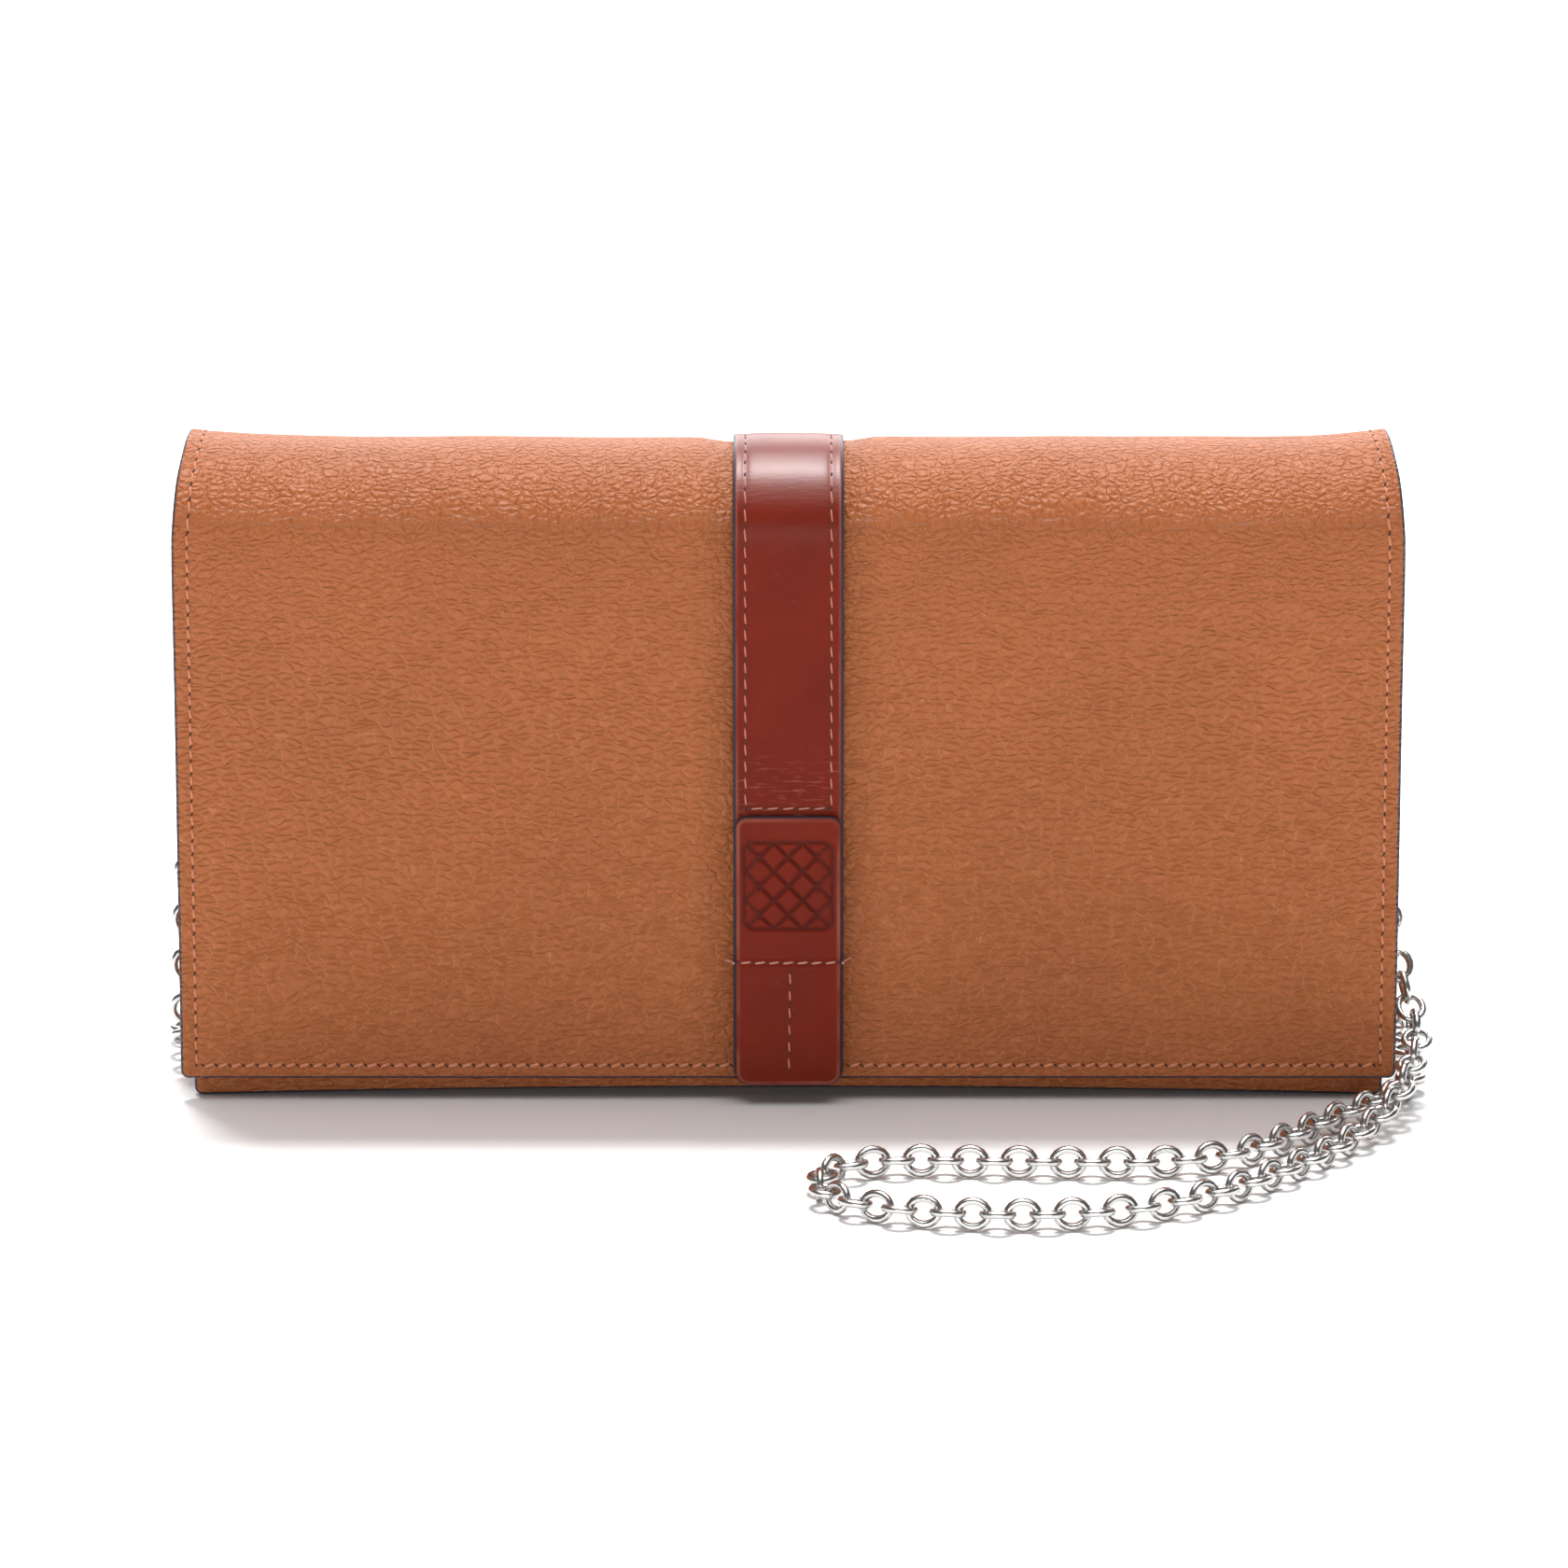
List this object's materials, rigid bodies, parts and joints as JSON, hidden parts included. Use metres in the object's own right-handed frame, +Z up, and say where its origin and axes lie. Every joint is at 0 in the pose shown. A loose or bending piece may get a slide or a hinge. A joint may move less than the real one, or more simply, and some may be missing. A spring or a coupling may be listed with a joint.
{
  "type": "chain wallet",
  "caption": "Long flap wallet in soft grained tan leather with a russet centre strap and tab, gusseted compartments, a zipped pocket and a silver link chain.",
  "frame": {"origin": "centre of the bottom of the wallet's box, on the surface it stands on, the chain left out", "axes": "+Z up, +X along the wallet's width, -Y out of the flap's face"},
  "size_m": [0.2104, 0.1395, 0.109],
  "materials": {
    "outer_leather": "soft grained",
    "trim_leather": "smooth, slightly glossy",
    "lining_suede": "brushed suede",
    "slot_leather": "smooth, matte",
    "zip_tape": "woven",
    "steel": "polished nickel plate",
    "magnet": "plain"
  },
  "bodies": {
    "shell": {"back_panel": "outer_leather", "back_lining": "lining_suede", "strap_back": "trim_leather", "bottom_panel": "outer_leather", "card_slot_left_1": "slot_leather", "card_slot_left_2": "slot_leather", "card_slot_left_3": "slot_leather", "card_slot_left_4": "slot_leather", "card_slot_right_1": "slot_leather", "card_slot_right_2": "slot_leather", "card_slot_right_3": "slot_leather", "card_slot_right_4": "slot_leather", "gusset_back_left": "outer_leather", "gusset_back_right": "outer_leather", "ring_tab_left": "trim_leather", "ring_tab_right": "trim_leather", "chain_left": "steel", "chain_hank": "steel", "chain_right_rear": "steel", "chain_right_front": "steel"},
    "roof": {"roof_leather": "outer_leather", "roof_lining": "lining_suede", "strap_top": "trim_leather"},
    "flap": {"flap_leather": "outer_leather", "flap_lining": "lining_suede", "strap_front": "trim_leather", "tab_plate": "trim_leather", "flap_magnet": "magnet"},
    "pocket": {"pocket_wall_front": "slot_leather", "pocket_wall_back": "slot_leather", "pocket_frame": "slot_leather", "zip_tape_front": "zip_tape", "zip_tape_back": "zip_tape", "zip_teeth_front": "steel", "zip_teeth_back": "steel", "zip_stop_left": "steel", "zip_stop_right": "steel"},
    "slider": {"zip_slider": "steel"},
    "pull": {"zip_pull": "steel"},
    "front": {"front_panel": "outer_leather", "front_lining": "lining_suede", "keeper_disc": "magnet", "gusset_front_left": "outer_leather", "gusset_front_right": "outer_leather"},
    "ring_left": {"d_ring_left": "steel", "clasp_left": "steel"},
    "gate_left": {"clasp_gate_left": "steel"},
    "ring_right": {"d_ring_right": "steel", "clasp_right": "steel"},
    "gate_right": {"clasp_gate_right": "steel"}
  },
  "joints": [
    {"name": "flap_back_fold", "type": "hinge", "parent": "shell", "child": "roof", "pos_m": [0, 0.0169, 0.095], "axis": [-1, 0, 0], "range_deg": [0, 90]},
    {"name": "flap_front_fold", "type": "hinge", "parent": "roof", "child": "flap", "pos_m": [0, -0.0152, 0.095], "axis": [-1, 0, 0], "range_deg": [0, 90]},
    {"name": "pocket_lean", "type": "hinge", "parent": "shell", "child": "pocket", "pos_m": [0, -0.0027, 0.0021], "axis": [1, 0, 0], "range_deg": [0, 4.5], "deforming": ["gusset_back_left", "gusset_back_right"]},
    {"name": "front_lean", "type": "hinge", "parent": "shell", "child": "front", "pos_m": [0, -0.0106, 0], "axis": [1, 0, 0], "range_deg": [0, 9], "deforming": ["gusset_front_left", "gusset_front_right"]},
    {"name": "zip_slide", "type": "slide", "parent": "pocket", "child": "slider", "axis": [-1, 0, 0], "range_m": [0, 0.158]},
    {"name": "pull_swing", "type": "hinge", "parent": "slider", "child": "pull", "pos_m": [0.079, 0.0007, 0.0891], "axis": [0, 1, 0], "range_deg": [0, 150]},
    {"name": "ring_swing_left", "type": "hinge", "parent": "shell", "child": "ring_left", "pos_m": [-0.09568, 0.0007, 0.0825], "axis": [0, 1, 0], "range_deg": [0, 35]},
    {"name": "gate_left_press", "type": "hinge", "parent": "ring_left", "child": "gate_left", "pos_m": [-0.09823, 0.0007, 0.0708], "axis": [0, 1, 0], "range_deg": [0, 18], "stiffness_Nm_per_rad": 0.002, "springref_deg": -11.46},
    {"name": "ring_swing_right", "type": "hinge", "parent": "shell", "child": "ring_right", "pos_m": [0.09568, 0.0007, 0.0825], "axis": [0, -1, 0], "range_deg": [0, 35]},
    {"name": "gate_right_press", "type": "hinge", "parent": "ring_right", "child": "gate_right", "pos_m": [0.09823, 0.0007, 0.0708], "axis": [0, -1, 0], "range_deg": [0, 18], "stiffness_Nm_per_rad": 0.002, "springref_deg": -11.46}
  ],
  "couplings": [
    {"joint": "flap_front_fold", "follows": "flap_back_fold", "ratio": 1},
    {"joint": "pocket_lean", "follows": "flap_back_fold", "ratio": 0.05},
    {"joint": "front_lean", "follows": "flap_back_fold", "ratio": 0.1}
  ]
}
